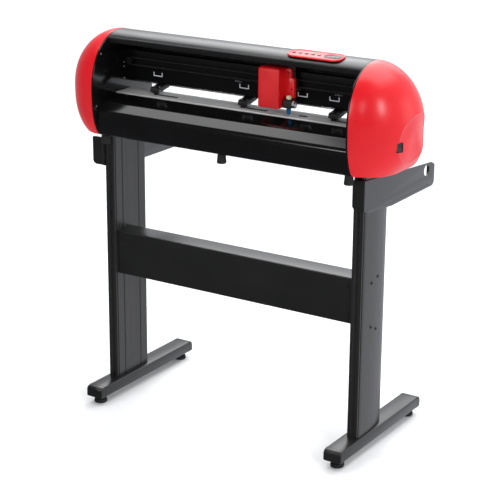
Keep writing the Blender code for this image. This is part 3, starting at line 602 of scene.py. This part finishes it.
# ------------------------------------------------------------------- carriage
bm = bmesh.new()
cover = fillet([(73.4, -14.4), (73.4, -56.0), (132.6, -56.0), (132.6, -14.4)], [0, 6.5, 6.5, 0], 8, True)
mid = Vector((103.0, -33.0))
levels = []
for z, k in ((820.5, 2.2), (821.2, 1.0), (822.8, 0.0), (911.5, 0.0), (914.8, 0.7), (917.4, 2.4), (918.9, 5.0), (919.5, 8.2)):
    row = []
    for a, b in cover:
        da, db = (1 if a < mid.x else -1) * min(k, abs(a - mid.x)), (1 if b < -40 else 0) * k
        row.append(W(a + da, b + db, z))
    levels.append(row)
skin(bm, levels)
cover_obj = piece("carriage_cover_shell", bm, RED_CARRIAGE, "carriage", ("carriage_cover",), 32.0)
cut = bmesh.new()
block(cut, (75.9, -53.4, 815.0), (130.1, -8.0, 916.6), 3.0, 3)
boolean(cover_obj, cut, "cover_room")
smooth(cover_obj.data, 32.0)
bm = bmesh.new()
for x1, z0, z1, y0 in ((157.0, 844.0, 893.0, -25.0), (148.5, 889.0, 915.0, -24.0)):
    ring = fillet([(126.0, -14.4), (126.0, y0), (x1, y0), (x1, -14.4)], [0, 0, 2.4, 0], 5, True)
    rows = []
    for z, k in ((z0, 1.4), (z0 + 0.5, 0.5), (z0 + 1.5, 0.0), (z1 - 2.0, 0.0), (z1 - 0.7, 0.6), (z1, 2.0)):
        rows.append([W(a - (k if a > 140 else 0), b + (k if b < -20 else 0), z) for a, b in ring])
    skin(bm, rows)
piece("carriage_cover_wing", bm, RED_CARRIAGE, "carriage", (), 32.0)
softened("carriage_plate", 0.4, ALU_BLACK)

bm = bmesh.new()
screw(bm, (150.5, -25.0, 866.0), "-Y", 2.2, 1.2, 1.0)
screw(bm, (141.5, -24.0, 905.5), "-Y", 2.0, 1.1, 0.9)
piece("carriage_cover_screws", bm, BLACK_SCREW, "carriage")

TOOL = (148.5, -33.0)
softened("tool_clamp", 0.35, DARK)
bm = bmesh.new()
lathe(bm, [(6.25, 842.7), (7.6, 842.7), (8.2, 843.3), (8.2, 843.55), (6.25, 843.55)], (TOOL[0], TOOL[1], 0.0), "Z", 36)
piece("tool_clamp_ring", bm, BLACK_SCREW, "tool")
bm = bmesh.new()
holder = [(0.0, 38.5), (5.3, 38.5), (5.8, 38.0), (5.8, 20.0)]
for k in range(6):
    h = 19.2 - 1.5 * k
    holder += [(5.8, h), (5.45, h - 0.35), (5.45, h - 0.8), (5.8, h - 1.15)]
holder += [(5.8, 9.9), (4.6, 8.6), (4.6, 3.0), (2.2, 0.6), (0.7, 0.0), (0.0, 0.0)]
lathe(bm, holder, (TOOL[0], TOOL[1], 804.9), "Z", 40)
piece("blade_holder_detailed", bm, BLUE, "tool", ("blade_holder",))
bm = bmesh.new()
lathe(bm, [(0.0, 9.6), (2.4, 9.6), (3.4, 9.3), (5.8, 8.7), (6.5, 7.8), (6.6, 7.0), (6.6, 4.4), (6.2, 4.1), (6.2, 3.6), (6.6, 3.3), (6.6, 0.9), (6.2, 0.3), (0.0, 0.3)], (TOOL[0], TOOL[1], 804.9 + 38.5), "Z", 40)
piece("holder_cap_detailed", bm, CREAM, "tool", ("holder_cap",))

# the clamp's knob, with a knurled rim
bm = bmesh.new()
rings = []
for r, h in ((0.0, 8.3), (3.0, 8.3), (3.4, 9.0), (7.2, 9.0), (9.2, 8.2), (9.6, 7.4), (9.6, 2.4), (9.0, 1.2), (4.0, 0.3), (0.0, 0.3)):
    row = []
    for i in range(96):
        a = 2 * PI * i / 96
        rr = r - (0.45 if (i // 2) % 2 and r > 9.3 else 0.0)
        row.append(W(159.0 + h, -33.0 + rr * math.cos(a), 832.5 + rr * math.sin(a)))
    rings.append(row)
skin(bm, rings[1:-1])
piece("clamp_screw_knob", bm, STEEL, "clamp_knob", ("clamp_screw",), 40.0)

# ------------------------------------------------------- belt, pulleys, motors
dress("carriage_belt", BELT)
bm = bmesh.new()
pulley = [(0.0, -8.4), (8.0, -8.4), (8.0, -7.8), (7.5, -7.6), (7.5, -2.8), (8.0, -2.6), (8.0, -2.0), (2.4, -2.0), (2.4, 6.6), (0.0, 6.6)]
lathe(bm, pulley, (340.0, 0.0, 878.0), "Y", 40)
piece("belt_pulley_detailed", bm, BLACK_SCREW, "motor_pulley", ("belt_pulley",))
bm = bmesh.new()
lathe(bm, pulley, (-340.0, 0.0, 878.0), "Y", 40)
piece("idler_pulley_detailed", bm, BLACK_SCREW, "idler", ("idler_pulley",))
softened("carriage_motor", 0.6, DARK)
softened("drive_motor", 0.5, DARK)
dress("drive_gear", BRASS)
dress("motor_pinion", BRASS)

# -------------------------------------------------------------- control panel
TILT = Matrix.Translation(W(223.0, -36.0, 955.7)) @ Matrix.Rotation(math.radians(9.0), 4, "X")


def oval(half_x, half_y, corner, count=14):
    ring = []
    for cx, cy, start in ((1, 1, 0.0), (-1, 1, 0.5), (-1, -1, 1.0), (1, -1, 1.5)):
        for i in range(count + 1):
            a = PI * (start + 0.5 * i / count)
            ring.append((cx * (half_x - corner) + corner * math.cos(a), cy * (half_y - corner) + corner * math.sin(a)))
    return ring


holes = [[(x - 223.0 + a, b) for a, b in circle(0.0, 0.0, 4.6, 32)] for x in (163.0, 180.0, 197.0, 214.0, 231.0)]
outline("control_bezel_plate", [oval(73.0, 24.0, 20.0)] + holes + [[(45.0 + a, b) for a, b in oval(23.5, 13.5, 13.0)]], 0.6, 3.6, 0.5, RED, "stand", TILT, ("control_bezel",))
bm = bmesh.new()
path = oval(70.4, 21.4, 17.6, 16)
sections = []
n = len(path)
for i, (a, b) in enumerate(path):
    p, q = Vector(path[i - 1]), Vector(path[(i + 1) % n])
    t = (q - p)
    normal = Vector((t.y, -t.x)).normalized()
    sections.append([TILT @ Vector(((a + normal.x * 2.5 * math.cos(w)) * MM, (b + normal.y * 2.5 * math.cos(w)) * MM, (3.0 + 1.55 * math.sin(w)) * MM)) for w in [PI * 2 * k / 12 for k in range(12)]])
rings = [[bm.verts.new(p) for p in ring] for ring in sections]
for i in range(n):
    a, b = rings[i], rings[(i + 1) % n]
    for k in range(12):
        m = (k + 1) % 12
        bm.faces.new((a[k], b[k], b[m], a[m]))
piece("control_bezel_rim", bm, RED, "stand", (), 60.0)
outline("display_window_plate", [[(45.0 + a, b) for a, b in oval(23.1, 13.1, 12.6)]], 0.8, 3.6, 0.6, WINDOW, "stand", TILT, ("display",))
bm = bmesh.new()
for dx, dy, w, h in ((-13.0, 2.0, 6.5, 1.1), (-13.0, -2.6, 6.5, 1.1), (-4.0, 2.0, 8.5, 1.1), (-4.0, -2.6, 5.0, 1.1), (8.0, 2.0, 6.0, 1.1), (8.0, -2.6, 6.0, 1.1)):
    lo, hi = Vector(((45.0 + dx) * MM, (dy) * MM, 3.55 * MM)), Vector(((45.0 + dx + w) * MM, (dy + h) * MM, 3.66 * MM))
    made = bmesh.ops.create_cube(bm, size=1.0)
    bmesh.ops.scale(bm, verts=made["verts"], vec=hi - lo)
    bmesh.ops.translate(bm, verts=made["verts"], vec=(lo + hi) / 2)
    bmesh.ops.transform(bm, matrix=TILT, verts=made["verts"])
piece("display_bars", bm, PRINT_DIM, "stand")
for number, x in enumerate((163.0, 180.0, 197.0, 214.0, 231.0), 1):
    bm = bmesh.new()
    steps, rings = 36, []
    for r, h in ((3.9, 2.5), (4.2, 2.8), (4.2, 4.3), (3.9, 4.75), (3.2, 5.05), (2.0, 4.95), (0.9, 4.85)):
        rings.append([TILT @ Vector(((x - 223.0 + r * math.cos(2 * PI * i / steps)) * MM, r * math.sin(2 * PI * i / steps) * MM, h * MM)) for i in range(steps)])
    skin(bm, rings)
    piece("button_%d_cap" % number, bm, GREY, "button_%d" % number, ("button_%d" % number,), 45.0)

# ------------------------------------------------------------------ the stand
def foot_ring():
    return fillet([(-160.0, 0.0), (-160.0, 28.7), (264.0, 28.7), (264.0, 0.0)], [2.0, 10.0, 10.0, 2.0], 8, True)


for tag, sign in (("left", -1.0), ("right", 1.0)):
    cx = sign * 359.9
    bm = bmesh.new()
    ring = foot_ring()
    rows = []
    for x, k in ((-25.0, 2.6), (-24.3, 1.2), (-23.3, 0.4), (-22.0, 0.0), (22.0, 0.0), (23.3, 0.4), (24.3, 1.2), (25.0, 2.6)):
        rows.append([W(cx + x, y + (k if y < 52 else -k), z + (k if z < 14 else -k)) for y, z in ring])
    skin(bm, rows)
    piece("foot_bar_%s_detailed" % tag, bm, STAND, "stand", ("foot_bar_" + tag,), 35.0)
    # end plugs' parting lines and the rubber pads under the foot bars
    bm = bmesh.new()
    for y in (-143.0, 247.0):
        block(bm, (cx - 25.15, y - 0.35, 0.2), (cx + 25.15, y + 0.35, 28.85), 0.0)
    piece("foot_plug_seam_" + tag, bm, RUBBER, "stand")
    for end, y in (("front", -132.0), ("rear", 236.0)):
        bm = bmesh.new()
        lathe(bm, [(0.0, -0.3), (6.0, -0.3), (6.0, -6.5), (9.0, -7.0), (9.0, -9.0), (14.0, -9.8), (16.0, -11.2), (17.0, -13.5), (17.0, -18.6), (16.2, -20.0), (0.0, -20.0)], (cx, y, 0.0), "Z", 40)
        piece("foot_pad_%s_%s_detailed" % (end, tag), bm, RUBBER, "stand", ("foot_pad_%s_%s" % (end, tag),))
    # leg: flat inner side, bulged outer side that runs round to the back
    side_out = [(11.0, -68.6), (12.6, -68.2), (13.2, -67.0), (13.2, -64.6), (12.4, -64.0), (12.4, -62.6), (14.2, -61.6), (14.8, -58.0), (15.1, -50.0), (15.1, -20.0)]
    for k in range(1, 15):
        a = PI / 2 * k / 14
        side_out.append((15.1 - 12.0 * (1 - math.cos(a)), -20.0 + 87.3 * math.sin(a)))
    side_in = [(-2.0, 67.3), (-11.0, 67.3), (-13.6, 66.4), (-15.1, 63.6), (-15.1, 36.5), (-13.9, 35.6), (-13.9, 32.4), (-15.1, 31.5), (-15.1, -33.0), (-13.9, -33.9), (-13.9, -37.1), (-15.1, -38.0), (-15.1, -61.6), (-13.2, -62.6), (-13.2, -64.0), (-14.0, -64.6), (-14.0, -67.0), (-13.2, -68.2), (-11.6, -68.6), (-5.0, -68.6), (-4.4, -67.9), (4.0, -67.9), (4.6, -68.6)]
    ring = [(sign * a, b) for a, b in side_out + side_in]
    if sign < 0:
        ring.reverse()
    bm = bmesh.new()
    skin(bm, [[W(sign * 363.5 + a, b, z) for a, b in ring] for z in (29.0, 702.6)])
    piece("leg_%s_detailed" % tag, bm, LEG, "stand", ("leg_" + tag,), 24.0)
    bm = bmesh.new()
    for y, z, x in ((-18.4, 420.4, 378.5), (13.5, 428.6, 377.5), (-15.9, 306.9, 378.5), (10.7, 294.8, 377.6)):
        screw(bm, (sign * x, y, z), "X" if sign > 0 else "-X", 4.5, 1.9, 2.2)
    piece("leg_screws_" + tag, bm, BLACK_SCREW, "stand")

SIDE = [(-74.2, 686.0), (-74.2, 612.0), (-50.0, 604.0), (67.0, 593.5), (286.0, 593.5), (295.0, 602.0), (295.0, 648.0), (277.0, 656.0)]
for tag, x in (("left", -382.0), ("right", 379.0)):
    ring = fillet(SIDE, [0.6, 4.0, 10.0, 14.0, 8.0, 8.0, 7.0, 10.0], 6, True)
    # the plate takes the lighter, bluer coat (painted light and sheen); its flanges below take the stand's darker coat
    outline("bracket_%s_plate" % tag, [ring, circle(250.0, 640.0, 14.0, 56)], x, x + 3.0, 0.4, BRACKET_PAINTED_LIGHT, "stand", X_PLACE, ("bracket_" + tag,))
    bm = bmesh.new()
    flange = fillet([(x - 30.0, 612.6), (x + 2.4, 612.6), (x + 2.4, 685.4), (x - 30.0, 685.4)], [11.0, 1.5, 1.5, 5.0], 6, True)
    skin(bm, [[W(a, y, b) for a, b in flange] for y in (-74.1, -71.2)])
    block(bm, (x - 18.0, 292.0, 604.2), (x + 2.8, 294.9, 645.8), 0.7)
    block(bm, (x - 8.0, 74.0, 593.7), (x + 2.0, 284.0, 596.4), 0.6)
    piece("bracket_%s_flanges" % tag, bm, STAND, "stand")
    # a pressed rib along the lower edge
    bm = bmesh.new()
    ring = [(-58.0, 611.0), (66.0, 600.5), (262.0, 600.5)]
    line = fillet(ring, 60.0, 8)
    sections = []
    for y, z in line:
        sections.append([W(x + 3.0 - 0.05 + 1.1 * max(0.0, math.sin(w)), y, z + 1.9 * math.cos(w)) for w in [PI * 2 * k / 12 for k in range(12)]])
    skin(bm, sections)
    piece("bracket_%s_rib" % tag, bm, BRACKET_PAINTED_LIGHT, "stand", (), 60.0)

line = fillet([(-40.0, 321.5), (-60.0, 321.5), (-60.0, 438.0), (3.0, 438.0), (3.0, 424.0)], [0, 3.0, 3.0, 3.0, 0], 6)
folded("cross_panel_detailed", line, -348.0, 348.0, 2.0, (-30.0, 380.0), STAND, ("cross_panel",))
bm = bmesh.new()
for x in (-335.0, 335.0):
    for z in (345.0, 414.0):
        screw(bm, (x, -60.0, z), "-Y", 3.4, 2.0, 1.5)
piece("cross_panel_screws", bm, BLACK_SCREW, "stand")

for tag, x in (("left", -352.0), ("middle", 0.0), ("right", 352.0)):
    bm = bmesh.new()
    lathe(bm, [(0.0, -0.3), (9.5, -0.3), (10.5, -4.0), (11.0, -12.0), (12.0, -20.5), (11.7, -22.6), (10.6, -24.0), (4.0, -24.0), (3.4, -21.5), (0.0, -21.5)], (x, -98.0, 703.0), "Z", 40)
    piece("rubber_foot_%s_detailed" % tag, bm, RUBBER, "stand", ("rubber_foot_" + tag,))

# ----------------------------------------------------------------- electrics
softened("power_inlet", 0.4, DARK)
bm = bmesh.new()
for x, z in ((295.0, 722.6), (305.0, 722.6), (300.0, 726.8)):
    block(bm, (x - 1.0, 99.5, z - 2.0), (x + 1.0, 112.5, z + 2.0), 0.3, 2)
piece("inlet_blades", bm, BRASS, "stand")
softened("circuit_board", 0.2, BOARD)
softened("power_supply", 0.6, ALU_UP)

# ----------------------------------------------------------------- the studio
def stage_material():
    made = bpy.data.materials.new("studio_floor")
    made.use_nodes = True
    nt = made.node_tree
    shader = nt.nodes["Principled BSDF"]
    shader.inputs["Roughness"].default_value = 0.95
    shader.inputs["Specular IOR Level"].default_value = 0.1
    shader.inputs["Base Color"].default_value = (0.92, 0.92, 0.92, 1.0)
    return made


mesh = bpy.data.meshes.new("studio_floor")
bm = bmesh.new()
bmesh.ops.create_grid(bm, x_segments=1, y_segments=1, size=40.0)
bm.to_mesh(mesh)
bm.free()
floor = bpy.data.objects.new("studio_floor", mesh)
floor.location = (0.0, 0.0, -0.0005)
floor.data.materials.append(stage_material())
floor.visible_glossy = False
SCENE.collection.objects.link(floor)

world = bpy.data.worlds.new("studio")
world.use_nodes = True
# a room that is bright on the far right and dim on the near left
nt = world.node_tree
nt.nodes["Background"].inputs["Color"].default_value = (0.91, 0.94, 1.0, 1.0)
coords = nt.nodes.new("ShaderNodeTexCoord")
side = nt.nodes.new("ShaderNodeVectorMath")
side.operation = "DOT_PRODUCT"
side.inputs[1].default_value = (0.53, 0.85, 0.0)
nt.links.new(coords.outputs["Generated"], side.inputs[0])
nt.links.new(ramp(nt, side.outputs["Value"], 0.13, 1.05, -0.75, 0.85), nt.nodes["Background"].inputs["Strength"])
SCENE.world = world
SCENE.view_settings.view_transform = "Standard"
SCENE.view_settings.look = "None"


def area(name, at, aim, size, size_y, power, colour=(1.0, 1.0, 1.0)):
    light = bpy.data.lights.new(name, "AREA")
    light.shape = "RECTANGLE"
    light.size, light.size_y = size, size_y
    light.energy = power
    light.color = colour
    obj = bpy.data.objects.new(name, light)
    obj.location = at
    obj.rotation_mode = "QUATERNION"
    obj.rotation_quaternion = (Vector(aim) - Vector(at)).to_track_quat("-Z", "Y")
    obj.visible_camera = False
    SCENE.collection.objects.link(obj)
    return obj


area("overhead", (0.2, 0.6, 3.0), (0.2, 0.3, 0.0), 2.8, 2.2, 66.0)
area("band_box", (-1.45, -0.75, 3.0), (-0.2, -0.2, 0.8), 0.9, 0.9, 11.0)
area("rear_box", (-1.9, 2.7, 2.9), (0.0, 0.0, 0.9), 2.0, 1.2, 20.0)
area("far_floor", (-2.5, 8.0, 5.0), (-3.0, 8.0, 0.0), 9.0, 7.0, 430.0)
area("right_wall", (3.4, 1.6, 1.2), (0.0, 0.0, 0.8), 2.0, 2.2, 16.0)
area("key", (3.35, -2.06, 2.3), (0.35, 0.0, 0.80), 0.42, 1.4, 46.0)
area("front_soft", (0.9, -3.6, 2.3), (0.2, 0.0, 0.8), 0.6, 1.0, 12.0)
area("left_strip", (-1.3, -3.3, 1.9), (0.0, 0.0, 0.8), 0.4, 1.3, 20.0)

# ----------------------------------------------------------------- the camera
cam = bpy.data.cameras.new("camera")
cam.sensor_width = 36.0
cam.lens = 1589.3 / 500.0 * 36.0
cam.clip_end = 200.0
cam.dof.use_dof = False
camera = bpy.data.objects.new("camera", cam)
SCENE.collection.objects.link(camera)
AZ, EL, ROLL = 0.56153, 0.31362, 0.00789
back = Vector((math.sin(AZ) * math.cos(EL), -math.cos(AZ) * math.cos(EL), math.sin(EL)))
right = (-back).cross(Vector((0, 0, 1))).normalized()
up = right.cross(-back)
right, up = math.cos(ROLL) * right + math.sin(ROLL) * up, -math.sin(ROLL) * right + math.cos(ROLL) * up
eye = W(2047.63, -3220.46, 1668.51)
camera.matrix_world = Matrix(((right.x, up.x, back.x, eye.x), (right.y, up.y, back.y, eye.y), (right.z, up.z, back.z, eye.z), (0, 0, 0, 1)))
SCENE.camera = camera

bpy.context.view_layer.update()
